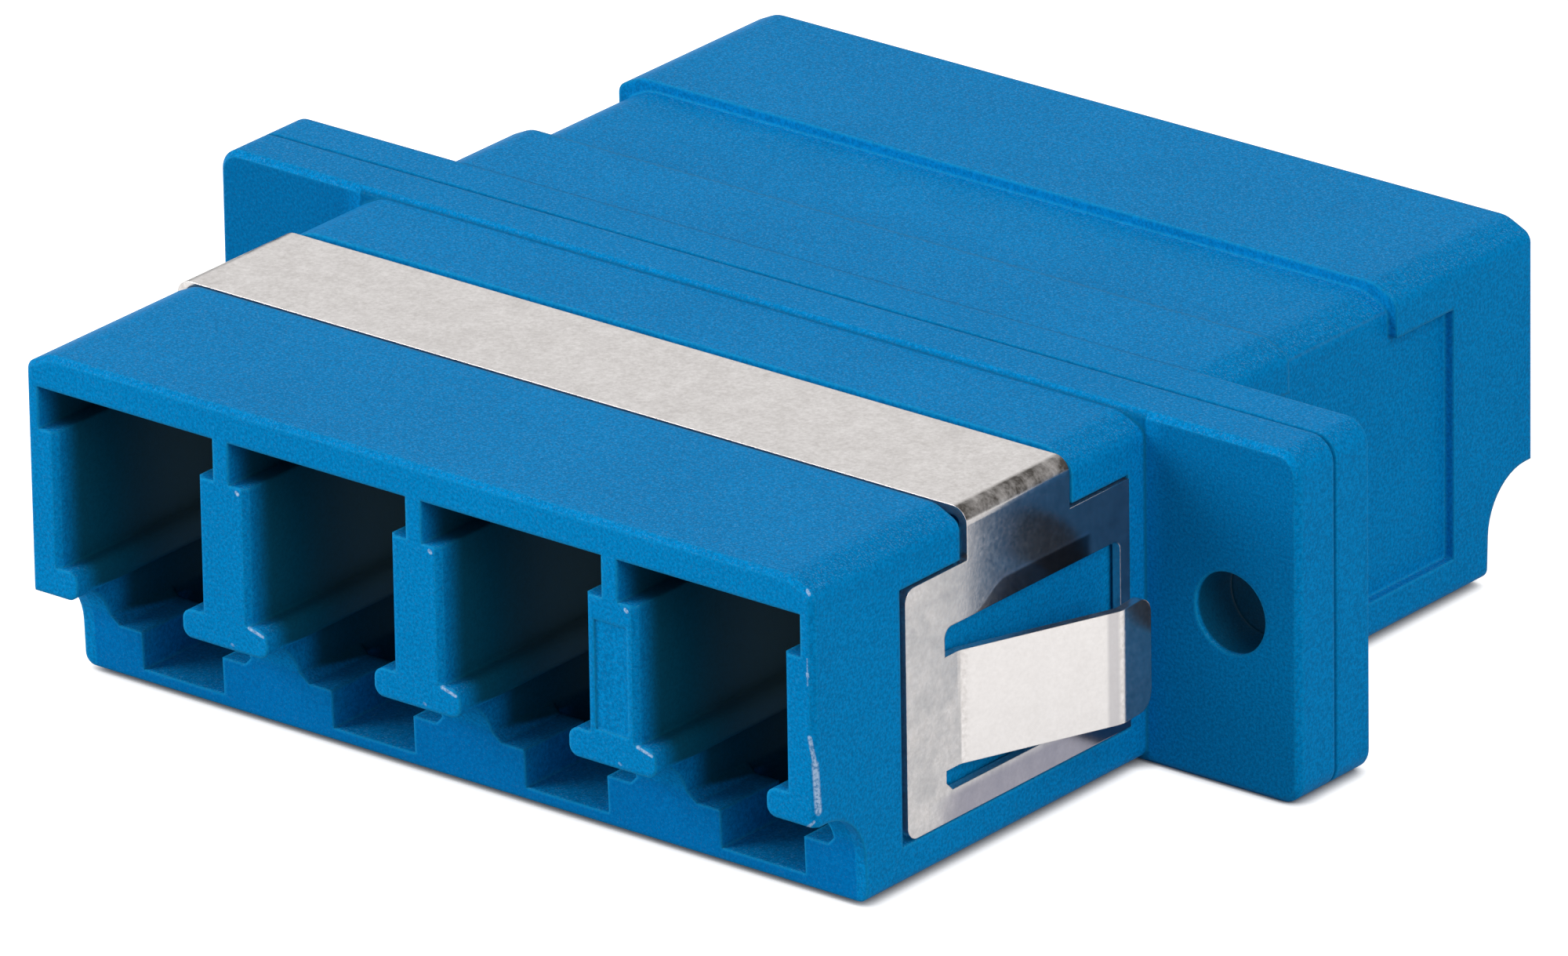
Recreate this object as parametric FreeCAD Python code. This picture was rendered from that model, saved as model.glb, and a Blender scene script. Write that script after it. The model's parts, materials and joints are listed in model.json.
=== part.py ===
"""Four-port fibre adapter: two joined moulded halves, a folded spring clip and four split sleeves.

Frame: +X along the row of ports, -Y towards the end that carries the clip, +Z up.
The origin is midway between the two screw holes, in the plane where the flange halves meet.
All lengths are in millimetres.
"""
import FreeCAD
import Part
import math
import os

V = FreeCAD.Vector

# ---------------------------------------------------------------- driving dimensions
# body
BODY_W = 25.3
BODY_H = 9.25
BODY_L = 29.5
BODY_RISE = 0.025
EDGE_DROP = 0.36
EDGE_RUN = 0.76
EDGE_SIDE_R = 0.35
EDGE_TOP_R = 0.9
LOW_EDGE_R = 0.3
END_BEVEL = 0.13

# flange, made of one half on each moulding
FLANGE_W = 34.9
FLANGE_H = 9.5
FLANGE_T = 3.0
FLANGE_CORNER_R = 0.65
FLANGE_BEVEL = 0.15
SEAM_BEVEL = 0.07
SCREW_SPACING = 30.6
SCREW_HOLE_D = 2.2

# row of ports
PORTS = 4
PITCH = 6.25
PORT_W = 4.64
TOP_WALL = 0.92
HEAD_W = 5.76
HEAD_H = 1.15
HEAD_DEPTH = 3.2
PLUG_H = 4.85
RAIL_GAP = 3.5
RAIL_T = 0.76
CENTRE_WALL = 1.25
RAIL_CORNER_R = 0.28
RIB_BEVEL = 0.14

# latch way under the rails, behind the relieved lower edge
LATCH_WAY_H = 1.39
CATCH_GAP = 2.66
CATCH_BACK = 4.3
FLOOR_T = 0.3
POCKET_BACK = 8.2
POCKET_END = 10.6
LEDGE_BEVEL = 0.25
RELIEF_DEPTH = 1.9
RELIEF_LIP = 0.3
RELIEF_LEAN = 2.2

# shallow recess in the end of one rib
MARK_X = 6.25
MARK_W = 1.04
MARK_H = 2.95
MARK_Z = 0.48
MARK_DEPTH = 0.05

# sleeve holders and sleeves
BARREL_D = 2.9
BARREL_REACH = 3.6
LIP_T = 0.2
LIP_HOLE_D = 1.34
FUNNEL_D = 1.6
SLEEVE_OD = 1.62
SLEEVE_ID = 1.249
SLEEVE_CLEAR = 0.02
SLEEVE_SLIT = 0.25

# shallow seat for the clip, moulded in both halves
SEAT_DEPTH = 0.3
SEAT_FRONT = 3.4
SEAT_BACK = 12.58
SEAT_TOP_DROP = 1.35
SEAT_LOW_RISE = 1.02
CHANNEL_DEPTH = 0.3
CHANNEL_FRONT = 5.8
CHANNEL_BACK = 10.3

# clip
SHEET_T = 0.25
SIDE_PLAY = 0.12
PLATE_FRONT = 3.55
PLATE_BACK = 12.52
PLATE_TOP_DROP = 1.42
PLATE_LOW_RISE = 1.13
PLATE_CORNER_R = 0.35
STRIP_FRONT = 6.02
STRIP_BACK = 10.12
BEND_R = 0.2
SLOT_FRONT = 5.08
SLOT_BACK = 12.14
SLOT_TOP_DROP = 2.93
SLOT_LOW_RISE = 1.93
SLOT_CORNER_R = 0.27
SLOT_BEVEL = 0.25
TAB_ROOT = 5.7
TAB_TOP_DROP = 3.7
TAB_H = 3.04
TAB_LEG = 4.65
TAB_ANGLE = 21.5
TAB_TIP = 1.26
TAB_TIP_ANGLE = -4.0
TAB_BEND_R = 0.45
TAB_CORNER_R = 0.5

# ---------------------------------------------------------------- derived places
END_Y = -BODY_L / 2
HALF_W = BODY_W / 2
TOP_Z = BODY_RISE + BODY_H / 2
LOW_Z = BODY_RISE - BODY_H / 2
HALF_FLANGE_T = FLANGE_T / 2
FLANGE_TOP_Z = FLANGE_H / 2
FLANGE_LOW_Z = -FLANGE_H / 2
PORT_TOP_Z = TOP_Z - TOP_WALL
SHELF_Z = PORT_TOP_Z - HEAD_H
RAIL_TOP_Z = PORT_TOP_Z - PLUG_H
RAIL_LOW_Z = RAIL_TOP_Z - RAIL_T
CATCH_Z = RAIL_LOW_Z - LATCH_WAY_H
FLOOR_Z = LOW_Z + FLOOR_T
AXIS_Z = (PORT_TOP_Z + RAIL_TOP_Z) / 2
SLEEVE_L = 2 * (BARREL_REACH - LIP_T)
PORT_X = [(i - (PORTS - 1) / 2) * PITCH for i in range(PORTS)]
OUT = 1.0
OVERLAP = 0.2


# ---------------------------------------------------------------- shape helpers
def block(x0, x1, y0, y1, z0, z1):
    """Box between two corners."""
    return Part.makeBox(x1 - x0, y1 - y0, z1 - z0, V(x0, y0, z0))


def rod(radius, x, z, y0, y1):
    """Cylinder along Y."""
    return Part.makeCylinder(radius, y1 - y0, V(x, y0, z), V(0, 1, 0))


def rounded_outline(corners, radii):
    """Closed wire through the corners, with an arc of the given radius at each one."""
    count = len(corners)
    edges = []
    ends = []
    for i in range(count):
        here = corners[i]
        before = (corners[i - 1] - here).normalize()
        after = (corners[(i + 1) % count] - here).normalize()
        radius = radii[i]
        if radius == 0:
            ends.append((here, here, None))
            continue
        half = before.getAngle(after) / 2
        reach = radius / math.tan(half)
        towards = (before + after).normalize()
        middle = here + towards * (radius / math.sin(half) - radius)
        ends.append((here + before * reach, here + after * reach, middle))
    for i in range(count):
        start, stop, middle = ends[i]
        if middle is not None:
            edges.append(Part.Arc(start, middle, stop).toShape())
        following = ends[(i + 1) % count][0]
        if (following - stop).Length > 1e-6:
            edges.append(Part.LineSegment(stop, following).toShape())
    return Part.Wire(edges)


def solid_along_y(corners_xz, radii, y0, y1):
    """Solid whose section in XZ has rounded corners, from y0 to y1."""
    wire = rounded_outline([V(x, y0, z) for x, z in corners_xz], radii)
    return Part.Face(wire).extrude(V(0, y1 - y0, 0))


def solid_along_x(corners_yz, radii, x0, x1):
    """Solid whose section in YZ has rounded corners, from x0 to x1."""
    wire = rounded_outline([V(x0, y, z) for y, z in corners_yz], radii)
    return Part.Face(wire).extrude(V(x1 - x0, 0, 0))


def solid_along_z(corners_xy, radii, z0, z1):
    """Solid whose section in XY has rounded corners, from z0 to z1."""
    wire = rounded_outline([V(x, y, z0) for x, y in corners_xy], radii)
    return Part.Face(wire).extrude(V(0, 0, z1 - z0))


def body_section(side_in, top_in, y0, y1):
    """The body's section with its sides and top drawn in by the given amounts, from y0 to y1."""
    half = HALF_W - side_in
    top = TOP_Z - top_in
    flat = half - EDGE_RUN
    turn = top - EDGE_DROP
    corners = [(-half, LOW_Z), (half, LOW_Z), (half, turn), (flat, top), (-flat, top), (-half, turn)]
    radii = [LOW_EDGE_R, LOW_EDGE_R, EDGE_SIDE_R, EDGE_TOP_R, EDGE_TOP_R, EDGE_SIDE_R]
    return solid_along_y(corners, radii, y0, y1)


def edges_at_y(shape, y):
    """Edges that lie wholly in the plane at y."""
    found = []
    for edge in shape.Edges:
        box = edge.BoundBox
        if abs(box.YMin - y) < 1e-4 and abs(box.YMax - y) < 1e-4:
            found.append(edge)
    return found


# ---------------------------------------------------------------- moulded half
def outer_form():
    """Body and half flange before anything is cut."""
    body = body_section(0, 0, END_Y, 0)
    body = body.makeChamfer(END_BEVEL, edges_at_y(body, END_Y))
    half = FLANGE_W / 2
    corners = [(-half, FLANGE_LOW_Z), (half, FLANGE_LOW_Z), (half, FLANGE_TOP_Z), (-half, FLANGE_TOP_Z)]
    plate = solid_along_y(corners, [FLANGE_CORNER_R] * 4, -HALF_FLANGE_T, 0)
    plate = plate.makeChamfer(FLANGE_BEVEL, edges_at_y(plate, -HALF_FLANGE_T))
    plate = plate.makeChamfer(SEAM_BEVEL, edges_at_y(plate, 0))
    return body.fuse(plate)


def port_cutter(x):
    """Everything that one port takes out of the half, from its mouth to the centre wall."""
    mouth = END_Y - OUT
    wall = -CENTRE_WALL
    half = PORT_W / 2
    gap = RAIL_GAP / 2
    head = block(x - HEAD_W / 2, x + HEAD_W / 2, mouth, END_Y + HEAD_DEPTH, SHELF_Z, PORT_TOP_Z)
    plug = block(x - half, x + half, mouth, wall, RAIL_TOP_Z, PORT_TOP_Z)
    under = RAIL_LOW_Z - RAIL_CORNER_R
    right = [(half, under), (half, RAIL_LOW_Z), (gap, RAIL_LOW_Z)]
    right.extend([(gap, RAIL_TOP_Z), (half, RAIL_TOP_Z), (half, AXIS_Z)])
    outline = [(x + dx, z) for dx, z in right] + [(x - dx, z) for dx, z in reversed(right)]
    radii = [0, 0, RAIL_CORNER_R, RAIL_CORNER_R, 0, 0]
    railed = solid_along_y(outline, radii + radii[::-1], mouth, END_Y + POCKET_END)
    slope = CATCH_Z + LEDGE_BEVEL
    flat = half - LEDGE_BEVEL
    way = solid_along_y(
        [(x - flat, CATCH_Z), (x + flat, CATCH_Z), (x + half, slope), (x + half, RAIL_LOW_Z),
         (x - half, RAIL_LOW_Z), (x - half, slope)], [0] * 6, mouth, END_Y + CATCH_BACK)
    channel = block(x - CATCH_GAP / 2, x + CATCH_GAP / 2, mouth, END_Y + CATCH_BACK, FLOOR_Z, CATCH_Z)
    pocket = solid_along_x(
        [(END_Y + CATCH_BACK, FLOOR_Z), (END_Y + POCKET_BACK, FLOOR_Z),
         (END_Y + POCKET_END, RAIL_LOW_Z), (END_Y + CATCH_BACK, RAIL_LOW_Z)],
        [0, 0, 0, 0], x - half, x + half)
    return head.fuse([plug, railed, way, channel, pocket])


def mouth_bevels(x):
    """Cutters that bevel the upright edges of the ribs on both sides of one port's mouth."""
    cutters = []
    for side in (-1, 1):
        edge = x + side * PORT_W / 2
        inside = edge + side * RIB_BEVEL
        front = END_Y - OUT
        corners = [(edge, front), (inside, front), (inside, END_Y), (edge, END_Y + RIB_BEVEL)]
        cutters.append(solid_along_z(corners, [0, 0, 0, 0], RAIL_TOP_Z, SHELF_Z))
    return cutters


def rib_mark():
    """Shallow rectangular recess in the end of one rib."""
    half_w = MARK_W / 2
    half_h = MARK_H / 2
    inner = END_Y + MARK_DEPTH
    return block(MARK_X - half_w, MARK_X + half_w, END_Y - OUT, inner, MARK_Z - half_h, MARK_Z + half_h)


def relief_cutter():
    """Concave cut along the lower edge of the end face, which frees the latches."""
    front = END_Y - OUT
    inner = END_Y + RELIEF_DEPTH
    below = LOW_Z - OUT
    leant = inner + (RAIL_LOW_Z - below) * math.tan(math.radians(RELIEF_LEAN))
    corners = [(front, RAIL_LOW_Z), (inner, RAIL_LOW_Z), (leant, below), (front, below)]
    radii = [0, RELIEF_DEPTH - RELIEF_LIP, 0, 0]
    return solid_along_x(corners, radii, -HALF_W - OUT, HALF_W + OUT)


def seat_cutters():
    """Shallow seat of the clip: a panel on each side and a channel over the top."""
    front = END_Y + SEAT_FRONT
    back = END_Y + SEAT_BACK
    top = TOP_Z - SEAT_TOP_DROP
    low = LOW_Z + SEAT_LOW_RISE
    inner = HALF_W - SEAT_DEPTH
    right = block(inner, HALF_W + OUT, front, back, low, top)
    left = block(-HALF_W - OUT, -inner, front, back, low, top)
    y0 = END_Y + CHANNEL_FRONT
    y1 = END_Y + CHANNEL_BACK
    over = block(-HALF_W - OUT, HALF_W + OUT, y0, y1, top, TOP_Z + OUT)
    over = over.cut(body_section(SEAT_DEPTH, CHANNEL_DEPTH, y0 - OUT, y1 + OUT))
    return [right, left, over]


def barrel(x):
    """Round holder of one end of a sleeve."""
    return rod(BARREL_D / 2, x, AXIS_Z, -BARREL_REACH, -CENTRE_WALL)


def sleeve_cutters(x):
    """Bore that takes half a sleeve, and the funnel through its lip that guides a ferrule in."""
    bore = rod(SLEEVE_OD / 2 + SLEEVE_CLEAR, x, AXIS_Z, -SLEEVE_L / 2, OUT)
    funnel = Part.makeCone(FUNNEL_D / 2, LIP_HOLE_D / 2, LIP_T, V(x, -BARREL_REACH, AXIS_Z), V(0, 1, 0))
    return [bore, funnel]


def housing_half():
    """The half that carries the clip; the other half is the same moulding turned round."""
    half = outer_form()
    cutters = []
    for x in PORT_X:
        cutters.append(port_cutter(x))
        cutters.extend(mouth_bevels(x))
    cutters.append(rib_mark())
    cutters.append(relief_cutter())
    cutters.extend(seat_cutters())
    for side in (-1, 1):
        x = side * SCREW_SPACING / 2
        cutters.append(rod(SCREW_HOLE_D / 2, x, 0, -HALF_FLANGE_T - OUT, OUT))
    half = half.cut(cutters)
    half = half.fuse([barrel(x) for x in PORT_X])
    bores = []
    for x in PORT_X:
        bores.extend(sleeve_cutters(x))
    return half.cut(bores).removeSplitter()


# ---------------------------------------------------------------- spring clip
def clip_saddle():
    """Sheet folded over the body: side plates joined by the strip in the top channel."""
    gap_x = HALF_W - SEAT_DEPTH + SIDE_PLAY
    under_z = TOP_Z - CHANNEL_DEPTH
    low = LOW_Z + PLATE_LOW_RISE
    y0 = END_Y + PLATE_FRONT
    y1 = END_Y + PLATE_BACK
    outer_r = BEND_R + SHEET_T
    far = gap_x + SHEET_T
    outline = [(far, low), (far, under_z + SHEET_T), (-far, under_z + SHEET_T), (-far, low),
               (-gap_x, low), (-gap_x, under_z), (gap_x, under_z), (gap_x, low)]
    sheet = solid_along_y(outline, [0, outer_r, outer_r, 0, 0, BEND_R, BEND_R, 0], y0, y1)
    plate_top = TOP_Z - PLATE_TOP_DROP
    across = far + OUT
    front_waste = block(-across, across, y0 - OUT, END_Y + STRIP_FRONT, plate_top, TOP_Z + OUT)
    back_waste = block(-across, across, END_Y + STRIP_BACK, y1 + OUT, plate_top, TOP_Z + OUT)
    return sheet.cut([front_waste, back_waste])


def corner_waste(x0, x1):
    """What is trimmed from a side plate to round its two leading corners."""
    front = END_Y + PLATE_FRONT
    back = END_Y + PLATE_BACK
    low = LOW_Z + PLATE_LOW_RISE
    top = TOP_Z - PLATE_TOP_DROP
    corners = [(front, low), (back, low), (back, top), (front, top)]
    kept = solid_along_x(corners, [PLATE_CORNER_R, 0, 0, PLATE_CORNER_R], x0, x1)
    return block(x0, x1, front - OUT, back + OUT, LOW_Z, top).cut(kept)


def slot_cutter(x0, x1):
    """Opening that frees the tab: rounded upper corners and a bevel at the leading lower one."""
    y0 = END_Y + SLOT_FRONT
    y1 = END_Y + SLOT_BACK
    low = LOW_Z + SLOT_LOW_RISE
    top = TOP_Z - SLOT_TOP_DROP
    corners = [(y0 + SLOT_BEVEL, low), (y1, low), (y1, top), (y0, top), (y0, low + SLOT_BEVEL)]
    return solid_along_x(corners, [0, 0, SLOT_CORNER_R, SLOT_CORNER_R, 0], x0, x1)


def folded_tab():
    """Tab on the +X side: it leans outwards from its root, and its round-cornered tip is bent back."""
    inner = HALF_W - SEAT_DEPTH + SIDE_PLAY
    root = END_Y + TAB_ROOT
    start = END_Y + SLOT_FRONT - OVERLAP
    lean = math.radians(TAB_ANGLE)
    tip = math.radians(TAB_TIP_ANGLE)
    path = [V(inner, start, 0), V(inner, root, 0)]
    path.append(path[-1] + V(math.sin(lean), math.cos(lean), 0) * TAB_LEG)
    path.append(path[-1] + V(math.sin(tip), math.cos(tip), 0) * TAB_TIP)
    shift_a = lean / 2
    shift_b = (lean + tip) / 2
    outer = [path[0] + V(SHEET_T, 0, 0)]
    outer.append(path[1] + V(math.cos(shift_a), -math.sin(shift_a), 0) * (SHEET_T / math.cos(lean / 2)))
    turn = (lean - tip) / 2
    outer.append(path[2] + V(math.cos(shift_b), -math.sin(shift_b), 0) * (SHEET_T / math.cos(turn)))
    outer.append(path[3] + V(math.cos(tip), -math.sin(tip), 0) * SHEET_T)
    corners = [(p.x, p.y) for p in outer + path[::-1]]
    wide = TAB_BEND_R + SHEET_T
    radii = [0, TAB_BEND_R, wide, 0, 0, TAB_BEND_R, wide, 0]
    top = TOP_Z - TAB_TOP_DROP
    low = top - TAB_H
    bent = solid_along_z(corners, radii, low, top)
    end = path[3].y
    flat = [(start, low), (end, low), (end, top), (start, top)]
    blank = solid_along_x(flat, [0, TAB_CORNER_R, TAB_CORNER_R, 0], 0, HALF_W + TAB_LEG)
    return bent.common(blank)


def retaining_clip():
    """One folded sheet with a lanced tab on each side."""
    clip = clip_saddle()
    for side in (-1, 1):
        x0, x1 = sorted((side * (HALF_W - SEAT_DEPTH - OUT), side * (HALF_W + OUT)))
        clip = clip.cut([corner_waste(x0, x1), slot_cutter(x0, x1)])
        tab = folded_tab()
        if side < 0:
            tab = tab.mirror(V(0, 0, 0), V(1, 0, 0))
        clip = clip.fuse(tab)
    return clip.removeSplitter()


# ---------------------------------------------------------------- alignment sleeves
def split_sleeve(x):
    """Ceramic tube, slit along its length, that lines up two ferrules."""
    half = SLEEVE_L / 2
    tube = rod(SLEEVE_OD / 2, x, AXIS_Z, -half, half)
    tube = tube.cut(rod(SLEEVE_ID / 2, x, AXIS_Z, -SLEEVE_L, SLEEVE_L))
    slit = block(x - SLEEVE_SLIT / 2, x + SLEEVE_SLIT / 2, -SLEEVE_L, SLEEVE_L, AXIS_Z, AXIS_Z + SLEEVE_OD)
    return tube.cut(slit)


# ---------------------------------------------------------------- parts
def write_parts():
    """Write one STEP file per piece."""
    os.makedirs("parts", exist_ok=True)
    front = housing_half()
    rear = front.copy()
    rear.rotate(V(0, 0, 0), V(0, 0, 1), 180)
    pieces = {"front_housing": front, "rear_housing": rear, "retaining_clip": retaining_clip()}
    for i, x in enumerate(PORT_X):
        pieces["split_sleeve_%d" % (i + 1)] = split_sleeve(x)
    for name, shape in pieces.items():
        solids = shape.Solids
        print(name, "solids", len(solids), "valid", shape.isValid(), "volume", round(shape.Volume, 2))
        shape.exportStep("parts/%s.step" % name)


write_parts()
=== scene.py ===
# %% [markdown]
# # Dressing a four-port fibre adapter
# The real object is a small blue block, no longer than a thumb. Two identical moulded
# halves meet in the middle of a flange, a folded steel clip saddles the front half, and
# a white ceramic sleeve hides behind each pair of ports. The solids come from the packed
# part, so this lesson is about light, camera and finish. A finish that looks right at
# this scale needs its grain measured in tenths of a millimetre, so lengths are given in
# millimetres and turned into metres in one place.

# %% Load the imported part
import json
import math
import bmesh
import bpy
from mathutils import Matrix, Vector


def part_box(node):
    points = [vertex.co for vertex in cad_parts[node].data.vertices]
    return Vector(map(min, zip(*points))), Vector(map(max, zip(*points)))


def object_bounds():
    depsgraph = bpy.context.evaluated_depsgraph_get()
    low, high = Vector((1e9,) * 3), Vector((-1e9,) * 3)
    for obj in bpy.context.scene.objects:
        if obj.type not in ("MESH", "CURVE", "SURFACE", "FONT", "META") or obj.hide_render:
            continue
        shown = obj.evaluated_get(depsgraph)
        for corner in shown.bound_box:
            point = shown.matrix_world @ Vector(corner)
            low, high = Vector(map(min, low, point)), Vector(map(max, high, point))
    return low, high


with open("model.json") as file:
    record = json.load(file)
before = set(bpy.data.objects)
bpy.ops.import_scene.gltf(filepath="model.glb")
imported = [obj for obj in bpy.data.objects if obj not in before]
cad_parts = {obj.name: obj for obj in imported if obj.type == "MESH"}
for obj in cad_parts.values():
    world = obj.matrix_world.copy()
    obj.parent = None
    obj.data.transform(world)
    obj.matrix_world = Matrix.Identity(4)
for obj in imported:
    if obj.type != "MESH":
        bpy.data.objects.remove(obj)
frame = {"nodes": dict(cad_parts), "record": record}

MM = 0.001
cad_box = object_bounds()
size_mm = [round((high - low) / MM, 2) for low, high in zip(*cad_box)]
print("nodes:", sorted(frame["nodes"]), "size in mm:", size_mm)


# %% [markdown]
# ## Camera
# A long lens from well back keeps parallel edges nearly parallel, which is how small
# products are usually shown. The camera is placed by two angles round the part and a
# distance, and its matrix is written from its own three axes. That is easier to reason
# about than Euler angles, and the slight roll is one more turn about the line of sight.

# %% Camera
AZIMUTH = math.radians(38.96)
ELEVATION = math.radians(22.65)
ROLL = math.radians(-0.93)
DISTANCE = 478.4 * MM
AIM = Vector((-0.10, 0.0, -0.69)) * MM
SENSOR_WIDTH_MM = 36
FOCAL_LENGTH_MM = 432.5


def direction(azimuth, elevation):
    """Unit vector away from the part: azimuth from -Y towards +X, elevation up from level."""
    return Vector((math.sin(azimuth) * math.cos(elevation),
                   -math.cos(azimuth) * math.cos(elevation), math.sin(elevation)))


back = direction(AZIMUTH, ELEVATION)
level_right = Vector((math.cos(AZIMUTH), math.sin(AZIMUTH), 0))
right = math.cos(ROLL) * level_right + math.sin(ROLL) * back.cross(level_right)
up = back.cross(right)

camera_data = bpy.data.cameras.new("camera")
camera_data.sensor_width = SENSOR_WIDTH_MM
camera_data.lens = FOCAL_LENGTH_MM
camera = bpy.data.objects.new("camera", camera_data)
bpy.context.scene.collection.objects.link(camera)
place = Matrix((right, up, back)).transposed().to_4x4()
place.translation = AIM + DISTANCE * back
camera.matrix_world = place
bpy.context.scene.camera = camera
print("camera stands at, in mm:", [round(v / MM, 1) for v in place.translation])


# %% [markdown]
# ## Shader maths written as plain expressions
# A finish is a small network of nodes. Wiring them by hand hides the idea, so a socket is
# wrapped in a class whose operators add Math nodes, and every other node is made by one
# method that takes its type, its settings and what goes into its sockets. Most masks ask
# whether something is above or below a level, so those two questions have names.

# %% A socket that can be added, multiplied and compared
class Wire:
    """A node's output that takes part in arithmetic."""

    def __init__(self, network, socket):
        self.network = network
        self.socket = socket

    def maths(self, operation, *others):
        return self.network.maths(operation, self, *others)

    def __add__(self, other):
        return self.maths("ADD", other)

    __radd__ = __add__

    def __mul__(self, other):
        return self.maths("MULTIPLY", other)

    __rmul__ = __mul__

    def __sub__(self, other):
        return self.maths("SUBTRACT", other)

    def __rsub__(self, other):
        return self.network.maths("SUBTRACT", other, self)

    def __abs__(self):
        return self.maths("ABSOLUTE")

    def clamp(self, low, high):
        return self.maths("MAXIMUM", low).maths("MINIMUM", high)

    def smooth(self, start, stop):
        """0 up to start, 1 from stop on, and a soft slope between."""
        return self.network.node("ShaderNodeMapRange", {"interpolation_type": "SMOOTHSTEP"},
                                 {"Value": self, "From Min": start, "From Max": stop})

    def above(self, level, softness):
        """1 above a level and 0 below it, softened by this much on each side."""
        return self.smooth(level - softness, level + softness)

    def below(self, level, softness):
        return 1 - self.above(level, softness)


# %% A network of nodes, and a finish made of one
class Network:
    """A tree of shader nodes that is built up node by node."""

    def __init__(self, tree):
        self.tree = tree
        self.tree.nodes.clear()

    def node(self, kind, settings=None, inputs=None, output=0):
        """Add a node, set it, fill its sockets with values or wires, and give one output."""
        made = self.tree.nodes.new(kind)
        for key, value in (settings or {}).items():
            setattr(made, key, value)
        for key, value in (inputs or {}).items():
            if isinstance(value, Wire):
                self.tree.links.new(value.socket, made.inputs[key])
            else:
                made.inputs[key].default_value = value
        return Wire(self, made.outputs[output])

    def maths(self, operation, *values):
        return self.node("ShaderNodeMath", {"operation": operation}, dict(enumerate(values)))

    def vector_maths(self, operation, *values):
        return self.node("ShaderNodeVectorMath", {"operation": operation}, dict(enumerate(values)))

    def scaled(self, vector, factor):
        return self.node("ShaderNodeVectorMath", {"operation": "SCALE"}, {0: vector, "Scale": factor})

    def split(self, vector):
        """The three numbers in a vector."""
        parts = self.node("ShaderNodeSeparateXYZ", {}, {0: vector}).socket.node
        return [Wire(self, socket) for socket in parts.outputs]

    def mix(self, factor, first, second):
        """A colour between two colours."""
        return self.node("ShaderNodeMix", {"data_type": "RGBA"},
                         {0: factor, 6: first, 7: second}, output=2)

    def noise(self, where, per_mm, detail=2.0, roughness=0.5):
        return self.node("ShaderNodeTexNoise", {},
                         {"Vector": where, "Scale": per_mm / MM, "Detail": detail,
                          "Roughness": roughness})

    def bumped(self, normal, height, strength, depth_mm):
        """A normal that leans as a shallow relief of this depth would make it."""
        return self.node("ShaderNodeBump", {}, {"Strength": strength, "Distance": depth_mm * MM,
                                                "Height": height, "Normal": normal})

    def rounded(self, radius_mm, samples):
        """The normal that edges would have if they were rounded to this radius."""
        return self.node("ShaderNodeBevel", {"samples": samples}, {"Radius": radius_mm * MM})

    def ray_is(self, *kinds):
        """1 for rays of these kinds, as Light Path names them."""
        return [self.node("ShaderNodeLightPath", output="Is %s Ray" % kind) for kind in kinds]

    def finish_with(self, shader, kind="ShaderNodeOutputMaterial"):
        final = self.tree.nodes.new(kind)
        self.tree.links.new(shader.socket, final.inputs["Surface"])


class Finish(Network):
    """A material and the nodes in it."""

    def __init__(self, name, viewport_colour):
        self.material = bpy.data.materials.new(name)
        self.material.use_nodes = True
        self.material.diffuse_color = (*viewport_colour, 1)
        super().__init__(self.material.node_tree)


def linear(red, green, blue):
    """A colour given in the usual 0-255 display values, as the shader wants it."""
    out = []
    for value in (red, green, blue):
        value = value / 255
        out.append(value / 12.92 if value <= 0.04045 else ((value + 0.055) / 1.055) ** 2.4)
    return (*out, 1.0)


WHITE = (1, 1, 1, 1)
BLACK = (0, 0, 0, 1)
print("shader helpers ready, mid grey is", [round(v, 3) for v in linear(128, 128, 128)])


# %% [markdown]
# ## Floor and backdrop
# The part lies on a white sweep. The floor takes the part's shadow, and for rays that
# come straight from the camera or off something shiny it also glows a little, so that it
# reads as white without more light being poured on the part. The glow fades where the
# part stands within a millimetre, which keeps the tight shadow along its lower edges.

# %% Floor
FLOOR_REACH = 400 * MM
FLOOR_DROP = 0.01 * MM
FLOOR_GREY = 0.5
FLOOR_GLOW = 0.90
CONTACT = 0.55 * MM
SHADED, CLEAR = 0.1, 0.8
floor_z = cad_box[0][2] - FLOOR_DROP

mesh = bpy.data.meshes.new("floor")
shape = bmesh.new()
bmesh.ops.create_grid(shape, x_segments=1, y_segments=1, size=FLOOR_REACH)
bmesh.ops.translate(shape, verts=shape.verts, vec=(0, 0, floor_z))
shape.to_mesh(mesh)
shape.free()
floor = bpy.data.objects.new("floor", mesh)
bpy.context.scene.collection.objects.link(floor)


# %% Floor's finish
def white_sweep():
    """Matt grey that also glows for the rays that only look at it."""
    made = Finish("white_sweep", (0.9, 0.9, 0.9))
    straight, shiny, through = made.ray_is("Camera", "Glossy", "Transmission")
    watched = (straight + shiny + through).clamp(0, 1)
    open_sky = made.node("ShaderNodeAmbientOcclusion", {"samples": 12}, {"Distance": CONTACT},
                         output="AO").smooth(SHADED, CLEAR)
    grey = (FLOOR_GREY, FLOOR_GREY, FLOOR_GREY, 1)
    matt = made.node("ShaderNodeBsdfDiffuse", {}, {"Color": grey})
    glow = made.node("ShaderNodeEmission", {}, {"Color": WHITE, "Strength": FLOOR_GLOW})
    nothing = made.node("ShaderNodeEmission", {}, {"Color": BLACK, "Strength": 0.0})
    shown = made.node("ShaderNodeMixShader", {}, {0: watched * open_sky, 1: nothing, 2: glow})
    made.finish_with(made.node("ShaderNodeAddShader", {}, {0: matt, 1: shown}))
    return made.material


mesh.materials.append(white_sweep())
print("floor at z in mm:", round(floor_z / MM, 3))


# %% [markdown]
# ## Light
# Soft light from the front left and above makes the top and the ends bright and leaves
# the flange's near ear in the body's shade. A weaker lamp on the right keeps the side
# with the clip readable. The world adds an even level from everywhere, and it is plain
# white where a ray from the camera or off the steel meets it.

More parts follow.
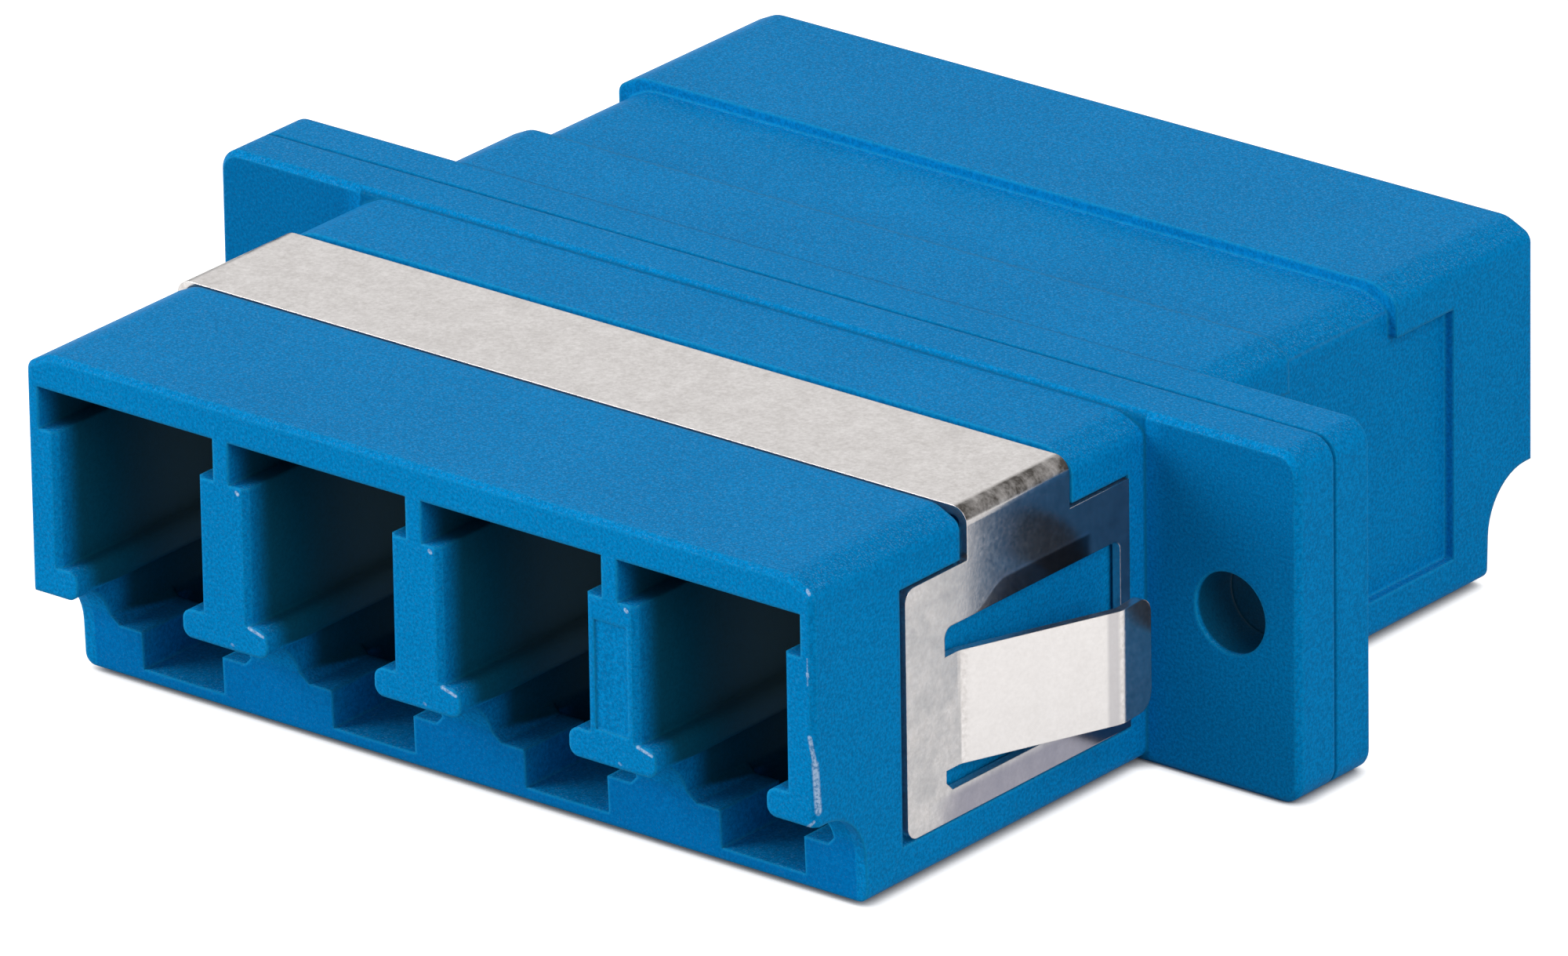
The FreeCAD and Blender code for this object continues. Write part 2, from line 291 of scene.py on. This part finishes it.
# %% World
WORLD_LEVEL = 0.42
world = bpy.data.worlds.new("studio")
world.use_nodes = True
bpy.context.scene.world = world
sky = Network(world.node_tree)
straight, shiny = sky.ray_is("Camera", "Glossy")
even, white = [sky.node("ShaderNodeBackground", {}, {"Color": WHITE, "Strength": strength})
               for strength in (WORLD_LEVEL, 1.0)]
choice = sky.node("ShaderNodeMixShader", {}, {0: straight.maths("MAXIMUM", shiny), 1: even, 2: white})
sky.finish_with(choice, "ShaderNodeOutputWorld")
print("world level:", WORLD_LEVEL)


# %% Lamps
def soft_lamp(name, azimuth, elevation, distance_mm, width_mm, level):
    """A square lamp that faces the part. Level is how bright it makes white paper facing it."""
    away = direction(math.radians(azimuth), math.radians(elevation))
    data = bpy.data.lights.new(name, "AREA")
    data.size = width_mm * MM
    # a lamp of P watts at a distance d makes white paper show P / (pi * d) ** 2
    data.energy = level * (math.pi * distance_mm * MM) ** 2
    lamp = bpy.data.objects.new(name, data)
    lamp.matrix_world = (Matrix.Translation(away * distance_mm * MM)
                         @ away.to_track_quat("Z", "Y").to_matrix().to_4x4())
    bpy.context.scene.collection.objects.link(lamp)
    print(name, "watts:", round(data.energy, 3))


soft_lamp("key", azimuth=-45, elevation=25, distance_mm=600, width_mm=350, level=0.70)
soft_lamp("fill", azimuth=75, elevation=33, distance_mm=700, width_mm=450, level=0.44)


# %% [markdown]
# ## Where on the part a point lies
# Some marks belong to one place: the painted shade deep in the ports, painted highlights on
# a corner, the rougher band of a bend with its painted reflection. Object coordinates stay
# with the part when it is moved, and
# they are turned into millimetres so that the numbers below read like a drawing. The part
# is alike on its left and right and, but for the clip, front and back. So most masks ask
# for the distance from the middle, or for the depth behind the nearer end face.

# %% Places in millimetres
front_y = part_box("front_housing")[0][1] / MM


class Place:
    """A shaded point's place in millimetres, and the way its surface faces in the part's axes."""

    def __init__(self, made):
        self.where = made.node("ShaderNodeTexCoord", output="Object")
        self.x, self.y, self.z = made.split(made.scaled(self.where, 1 / MM))
        self.normal = made.node("ShaderNodeNewGeometry", output="Normal")
        to_part = {"vector_type": "NORMAL", "convert_from": "WORLD", "convert_to": "OBJECT"}
        turned = made.node("ShaderNodeVectorTransform", to_part, {0: self.normal})
        self.facing_x, self.facing_y, self.facing_z = made.split(turned)

    def behind_an_end(self):
        """How deep the point lies behind the nearer end face."""
        return (abs(front_y) - abs(self.y)).clamp(0, 20)


print("end faces at y in mm:", round(front_y, 2), "and", round(-front_y, 2))

# %% [markdown]
# ## Painted highlights on corners
# Small pale marks are painted highlights where rounded corners catch the light. One set
# repeats on every rib's end. Another runs down the near corner of the front face, round on
# to the side, where the corner is also worn and shiny. Each mark is a short line from one
# point to another, across and up in millimetres, with its width and its strength. Where
# marks overlap, the stronger one wins.

# %% Painted highlights on the plastic
PITCH = 6.25
OUTERMOST_RIB = 9.1
CORNER_WRAP = 0.81
MARKS_ON_A_RIB = [((0.50, 2.45), (0.54, 2.42), 0.07, 0.8),
                  ((0.80, -1.15), (1.24, -1.27), 0.06, 0.7),
                  ((0.21, -1.73), (0.26, -1.75), 0.05, 0.3)]
MARKS_AT_THE_CORNER = [((12.46, 2.20), (12.47, 2.14), 0.06, 0.6),
                       ((12.46, 2.60), (12.46, 1.90), 0.03, 0.3),
                       ((12.50, 0.50), (12.66, -0.20), 0.09, 0.75),
                       ((12.66, -0.20), (12.74, -1.45), 0.14, 0.8),
                       ((12.05, -1.96), (12.27, -2.00), 0.05, 0.7),
                       ((12.27, -2.00), (12.60, -1.72), 0.05, 0.6),
                       ((12.50, 4.36), (12.56, 4.30), 0.06, 0.6)]


def streak(across, along, start, stop, width):
    """1 on a thin line between two points of a plane, and 0 away from it."""
    run = (stop[0] - start[0], stop[1] - start[1])
    squared = run[0] ** 2 + run[1] ** 2
    reached = ((across - start[0]) * (run[0] / squared)
               + (along - start[1]) * (run[1] / squared)).clamp(0, 1)
    miss_across = across - start[0] - reached * run[0]
    miss_along = along - start[1] - reached * run[1]
    miss = (miss_across * miss_across + miss_along * miss_along).maths("SQRT")
    return 1 - miss.smooth(0.4 * width, width)


def painted_corner_highlights(at):
    """Painted highlights on the ribs' ends and down the worn near corner of the front face."""
    behind = at.y - front_y
    from_rib = at.x - (at.x * (1 / PITCH)).maths("ROUND") * PITCH
    round_corner = at.x + behind * CORNER_WRAP
    on_ribs = behind.below(0.06, 0.04) * abs(at.x).below(OUTERMOST_RIB, 0.1)
    at_corner = behind.below(0.4, 0.1)
    highlights = []
    for across, marks, mask in ((from_rib, MARKS_ON_A_RIB, on_ribs),
                                (round_corner, MARKS_AT_THE_CORNER, at_corner)):
        for start, stop, width, strength in marks:
            highlights.append(streak(across, at.z, start, stop, width) * strength * mask)
    total = highlights[0]
    for glint in highlights[1:]:
        total = total.maths("MAXIMUM", glint)
    return total


print("marks:", len(MARKS_ON_A_RIB), "on each rib and", len(MARKS_AT_THE_CORNER), "at the corner")


# %% [markdown]
# ## Blue moulded plastic
# The halves are injection moulded in a filled polymer. Up close the broad faces carry a
# fine spark texture from the mould, the colour drifts a little, and every edge carries a
# painted highlight, a paler blue where a rounded edge would catch the light. The grain is
# a Noise node at several cycles per millimetre that drives both colour and a shallow bump.
# The painted edge highlights come from a Bevel node: where its softened normal leans away
# from the face's own, there is an edge. Inside the ports a painted shade takes over: it
# starts as a dark teal and turns greyer with depth. A fine dark line runs where the flange
# halves are welded, and a painted shade line runs in the corner where the flange meets the
# body.

# %% Landmarks and tones of the moulding
BODY_SIDE = 12.65
PORT_ROW_SIDE = 12.30
RAIL_UNDERSIDE = -1.8
ABOVE_PORTS = 3.9
UNDER_PORTS = -4.40
LATCH_LEDGE = -3.2
RELIEF_REACH = 2.3
FLANGE_HALF_T = 1.5
FLANGE_EDGE_Z = 4.70
SCREW_X = 15.3
SCREW_HOLE_R = 1.1
# painted shade in the ports sets in later below the rails and the ledge
SHADE_DELAY_UNDER_RAILS = 1.9
SHADE_DELAY_UNDER_LEDGE = 2.3

GRAIN_PER_MM = 12.0
FLECKS_PER_MM = 22.0
DRIFT_PER_MM = 0.25
GRAIN_DEPTH = 0.010
EDGE_RADIUS = 0.16

BLUE_LOW = linear(0, 112, 172)
BLUE_HIGH = linear(0, 138, 206)
# painted shade on the relief wall under each end
RELIEF_PAINTED_SHADE = linear(0, 97, 170)
# painted shade high on the flange's ears
EAR_PAINTED_SHADE = linear(0, 62, 112)
# painted highlight on every edge
EDGE_PAINTED_HIGHLIGHT = linear(30, 168, 226)
# dark weld seam, and painted shade in the corner at the flange's foot
SEAM_AND_CORNER_SHADE = linear(0, 66, 104)
# pale spark-texture flecks, with a painted sparkle on faces looking up
PALE_FLECK_AND_SPARKLE = linear(130, 185, 225)
# painted highlights on rounded corners
PALE_PAINTED_HIGHLIGHT = linear(190, 212, 238)
# painted shade in the ports: dark teal near the mouth, greyer deeper in
PORT_SHADE_NEAR = linear(10, 64, 74)
PORT_SHADE_FAR = linear(118, 144, 152)
# painted shade inside the screw holes
BORE_PAINTED_SHADE = linear(4, 52, 66)
print("blue runs from", [round(v, 3) for v in BLUE_LOW[:3]], "to", [round(v, 3) for v in BLUE_HIGH[:3]])


# %% Tone of the outer faces
def relief_mask(at, depth):
    """The concave wall behind the lower edge of each end."""
    within = at.z.below(RAIL_UNDERSIDE, 0.2) * abs(at.x).below(PORT_ROW_SIDE, 0.03)
    return within * depth.above(0.2, 0.1) * depth.below(RELIEF_REACH, 0.1)


def outer_tone(made, at, grain, edge, relief):
    """Grained blue with painted shade in the relief and high on the ears, painted highlights on edges,
    and pale flecks with a painted sparkle.
    """
    drift = made.noise(at.where, DRIFT_PER_MM, detail=2.0)
    fleck = made.noise(at.where, FLECKS_PER_MM, detail=1.0, roughness=0.6).smooth(0.52, 0.75)
    tone = made.mix((grain - 0.5) * 3.4 + 0.5 + (drift - 0.5) * 0.5, BLUE_LOW, BLUE_HIGH)
    squarely = abs(at.facing_y).above(0.94, 0.04)
    # painted shade on the concave relief wall under each end
    tone = made.mix(relief * squarely * 0.5, tone, RELIEF_PAINTED_SHADE)
    # painted shade high on the flange's ears, beside the body
    ear_shade = abs(at.x).smooth(BODY_SIDE + 0.05, BODY_SIDE + 0.75)
    ear_shade = ear_shade * abs(at.y).below(FLANGE_HALF_T + 0.35, 0.1)
    tone = made.mix(squarely * ear_shade * at.z.smooth(-1.5, 2.0) * 0.35, tone, EAR_PAINTED_SHADE)
    # painted highlight on every edge, where the Bevel normal leans away
    tone = made.mix(edge * 0.6, tone, EDGE_PAINTED_HIGHLIGHT)
    # pale flecks of the spark texture, plus a painted sparkle that is stronger on faces looking up
    return made.mix(fleck * (at.facing_z.smooth(0.5, 0.9) * 0.20 + 0.05), tone, PALE_FLECK_AND_SPARKLE)


# %% Painted shade inside the ports
def port_painted_shade(made, at, depth, tone):
    """Painted shade: dark teal that sets in behind the mouth, later below the rails and the ledge, greyer
    with depth.
    """
    inside = abs(at.x).below(PORT_ROW_SIDE, 0.03)
    inside = inside * at.z.above(UNDER_PORTS, 0.05) * at.z.below(ABOVE_PORTS, 0.1)
    delay = at.z.below(RAIL_UNDERSIDE, 0.2) * SHADE_DELAY_UNDER_RAILS
    delay = delay + at.z.below(LATCH_LEDGE, 0.2) * SHADE_DELAY_UNDER_LEDGE
    tone = made.mix((depth - delay).smooth(0.05, 1.0) * inside * 0.85, tone, PORT_SHADE_NEAR)
    return made.mix((depth - delay).smooth(1.8, 7.0) * inside * 0.9, tone, PORT_SHADE_FAR)


# %% Dark lines and screw holes
def lines_and_holes(made, at, tone):
    """The dark weld seam, painted shade in the corner where the flange meets the body, and painted shade
    in the screw holes.
    """
    seam = abs(at.y).below(0.06, 0.03)
    # painted shade along the corner where the flange meets the body
    corner_shade = abs(abs(at.y) - FLANGE_HALF_T).below(0.07, 0.05)
    corner_shade = corner_shade * abs(at.x).below(BODY_SIDE + 0.05, 0.05) * abs(at.z).below(FLANGE_EDGE_Z, 0.02)
    tone = made.mix(seam.maths("MAXIMUM", corner_shade) * 0.5, tone, SEAM_AND_CORNER_SHADE)
    # painted shade inside the screw holes
    across = abs(at.x) - SCREW_X
    in_hole = (across * across + at.z * at.z).below(SCREW_HOLE_R ** 2 + 0.09, 0.05)
    return made.mix(in_hole * abs(at.y).below(1.36, 0.06) * 0.75, tone, BORE_PAINTED_SHADE)


# %% Blue plastic
def blue_plastic():
    made = Finish("blue_plastic", (0.0, 0.2, 0.5))
    at = Place(made)
    depth = at.behind_an_end()
    relief = relief_mask(at, depth)
    grain = made.noise(at.where, GRAIN_PER_MM, detail=2.0, roughness=0.7)
    soft = made.rounded(EDGE_RADIUS, samples=6)
    lean = made.node("ShaderNodeVectorMath", {"operation": "DOT_PRODUCT"},
                     {0: soft, 1: at.normal}, output="Value")
    edge = (1 - lean).smooth(0.01, 0.25)
    tone = outer_tone(made, at, grain, edge, relief)
    # painted shade inside the ports
    tone = port_painted_shade(made, at, depth, tone)
    tone = lines_and_holes(made, at, tone)
    # painted highlights on the rib ends and the near corner
    tone = made.mix(painted_corner_highlights(at) * (grain.smooth(0.35, 0.60) * 0.7 + 0.3), tone, PALE_PAINTED_HIGHLIGHT)
    rough = (0.44 + grain * 0.18) - edge * 0.12 + relief * 0.35
    bump = made.bumped(soft, grain, strength=0.4, depth_mm=GRAIN_DEPTH)
    made.finish_with(made.node("ShaderNodeBsdfPrincipled", {},
                               {"Base Color": tone, "Roughness": rough, "Normal": bump,
                                "Specular IOR Level": 0.03,
                                "Specular Tint": (0.1, 0.65, 1.0, 1.0)}))
    print("blue plastic nodes:", len(made.tree.nodes))
    return made.material


# %% [markdown]
# ## Rolled stainless sheet
# The clip is stamped from thin cold rolled strip. Metal shows what is around it, so most
# of its look is the white floor, the blue flange and even the screw hole seen in it, and
# the surface has to be smooth enough for that. The fold over the top edge is stretched
# and scuffed, so it is rougher, and its darker tone is a painted reflection. The flat side
# plates are painted a tone greyer than the strip, with a darker bar low down, and the tab a
# touch lighter; these tones are painted reflections. The plates aren't quite flat either:
# their normals lean by about three degrees, which decides what they mirror. A dark band
# with a bright rim above the slot is a painted reflection of the tab.

# %% Landmarks and tones of the clip
TAB_STARTS = 12.80
PLATE_LEAN = (0.0, 0.029, -0.05)
BAND_LOW = 1.63
RIM_FRONT = 1.76
RIM_RISE = 0.58
BAND_FRONT, BAND_BACK = -8.5, -3.85
BRUSHED_FRONT, BRUSHED_BACK = -5.14, -4.705
BAR_TOP = -2.75

MOTTLE_PER_MM = 1.6
FINE_PER_MM = 9.0
ROLLING_DEPTH = 0.003
SHEARED_EDGE_RADIUS = 0.035

STEEL_LOW = linear(190, 185, 182)
STEEL_HIGH = linear(222, 218, 216)
# painted reflection: the tab a touch lighter
TAB_PAINTED_REFLECTION = linear(214, 210, 208)
# painted reflection on the fold
FOLD_PAINTED_REFLECTION = linear(70, 66, 62)
# painted reflection: the side plates a tone greyer
PLATE_PAINTED_REFLECTION = linear(140, 140, 142)
# painted reflection: a darker bar low on the plates
BAR_PAINTED_REFLECTION = linear(115, 113, 131)
# painted reflection of the tab: dark band and bright rim above the slot
BAND_PAINTED_REFLECTION = linear(40, 36, 46)
RIM_PAINTED_REFLECTION = linear(205, 205, 214)
STEEL_BRUSHED = linear(150, 147, 152)
print("band above the slot starts at z in mm:", BAND_LOW)


# %% Painted reflections and a brushed stripe on the clip
def painted_tab_reflection(made, at, plate, tone):
    """Painted reflection of the tab: a dark band above the slot, widening towards the back, and its
    bright rim.
    """
    rim = at.y.smooth(-8.6, -7.2) * RIM_RISE + RIM_FRONT
    along = at.y.above(BAND_FRONT, 0.2) * at.y.below(BAND_BACK, 0.15)
    band = plate * at.z.above(BAND_LOW, 0.03) * along
    tone = made.mix(band * (at.z - rim).below(-0.05, 0.05) * 0.7, tone, BAND_PAINTED_REFLECTION)
    line = abs(at.z - rim).below(0.045, 0.025) * at.y.smooth(-8.2, -7.2)
    return made.mix(band * line * 0.5, tone, RIM_PAINTED_REFLECTION)


def brushed_band(made, at, tab, tone):
    """The duller stripe across the tab just before its tip bends back."""
    across = at.y.above(BRUSHED_FRONT, 0.06) * at.y.below(BRUSHED_BACK, 0.045)
    return made.mix(tab * across * 0.5, tone, STEEL_BRUSHED)


# %% Spring steel
def spring_steel():
    made = Finish("spring_steel", (0.62, 0.6, 0.58))
    at = Place(made)
    mottle = made.noise(at.where, MOTTLE_PER_MM, detail=4.0, roughness=0.7) - 0.5
    fine = made.noise(at.where, FINE_PER_MM, detail=2.0, roughness=0.6)
    side = abs(at.facing_x)
    squarely = side.smooth(0.96, 0.985)
    fold = side.smooth(0.02, 0.25) * (1 - side.smooth(0.93, 0.99)) * at.facing_z.smooth(0.03, 0.12)
    plate = squarely * abs(at.x).below(TAB_STARTS + 0.05, 0.05)
    tab = abs(at.x).above(TAB_STARTS, 0.04) * (1 - squarely)
    bar = plate * at.z.below(BAR_TOP, 0.15) * at.y.smooth(-10.6, -8.8)
    tone = made.mix(mottle * 1.2 + (fine - 0.5) * 1.6 + 0.5, STEEL_LOW, STEEL_HIGH)
    # painted reflection lightening the tab
    tone = made.mix(tab * 0.7, tone, TAB_PAINTED_REFLECTION)
    # painted reflection darkening the fold
    tone = made.mix(fold * (mottle * 2.0 + 0.75).clamp(0.3, 1), tone, FOLD_PAINTED_REFLECTION)
    # painted reflection greying the side plates
    tone = made.mix(plate * (mottle * 1.5 + 0.42), tone, PLATE_PAINTED_REFLECTION)
    # painted reflection: darker bar low on the plates
    tone = made.mix(bar * 0.7, tone, BAR_PAINTED_REFLECTION)
    # painted reflection of the tab above the slot
    tone = painted_tab_reflection(made, at, plate, tone)
    tone = brushed_band(made, at, tab, tone)
    rough = 0.16 + (fine - 0.5) * 0.10 + fold * 0.15
    soft = made.rounded(SHEARED_EDGE_RADIUS, samples=4)
    leant = made.vector_maths("NORMALIZE", made.vector_maths("ADD", soft, made.scaled(PLATE_LEAN, plate)))
    bump = made.bumped(leant, fine, strength=0.25, depth_mm=ROLLING_DEPTH)
    made.finish_with(made.node("ShaderNodeBsdfPrincipled", {},
                               {"Base Color": tone, "Metallic": 0.95, "Roughness": rough,
                                "Normal": bump}))
    print("spring steel nodes:", len(made.tree.nodes))
    return made.material


# %% [markdown]
# ## Ceramic sleeves
# The sleeves are ground zirconia: white, dense and smooth. They are almost out of sight,
# so a faint cloud in the tone and a polished surface are enough.

# %% Sleeve ceramic
def sleeve_ceramic():
    made = Finish("sleeve_ceramic", (0.85, 0.84, 0.8))
    cloud = made.noise(made.node("ShaderNodeTexCoord", output="Object"), 1.2, detail=2.0)
    tone = made.mix(cloud, linear(232, 229, 220), linear(246, 244, 238))
    made.finish_with(made.node("ShaderNodeBsdfPrincipled", {},
                               {"Base Color": tone, "Roughness": 0.15 + cloud * 0.1}))
    return made.material


# %% [markdown]
# ## Giving each piece its finish
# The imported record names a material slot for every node, so the finishes are handed out
# by slot and no piece can be missed.

# %% Hand out the finishes
finishes = {"blue_plastic": blue_plastic(), "spring_steel": spring_steel(),
            "sleeve_ceramic": sleeve_ceramic()}
for entry in frame["record"]["subparts"]:
    node = frame["nodes"][entry["node"]]
    node.data.materials.clear()
    node.data.materials.append(finishes[entry["material_slot"]])
    print(entry["node"], "->", entry["material_slot"])

# %% [markdown]
# ## View transform
# The picture uses the Standard view transform, so colours show as they are set.

# %% View transform
bpy.context.scene.view_settings.view_transform = "Standard"
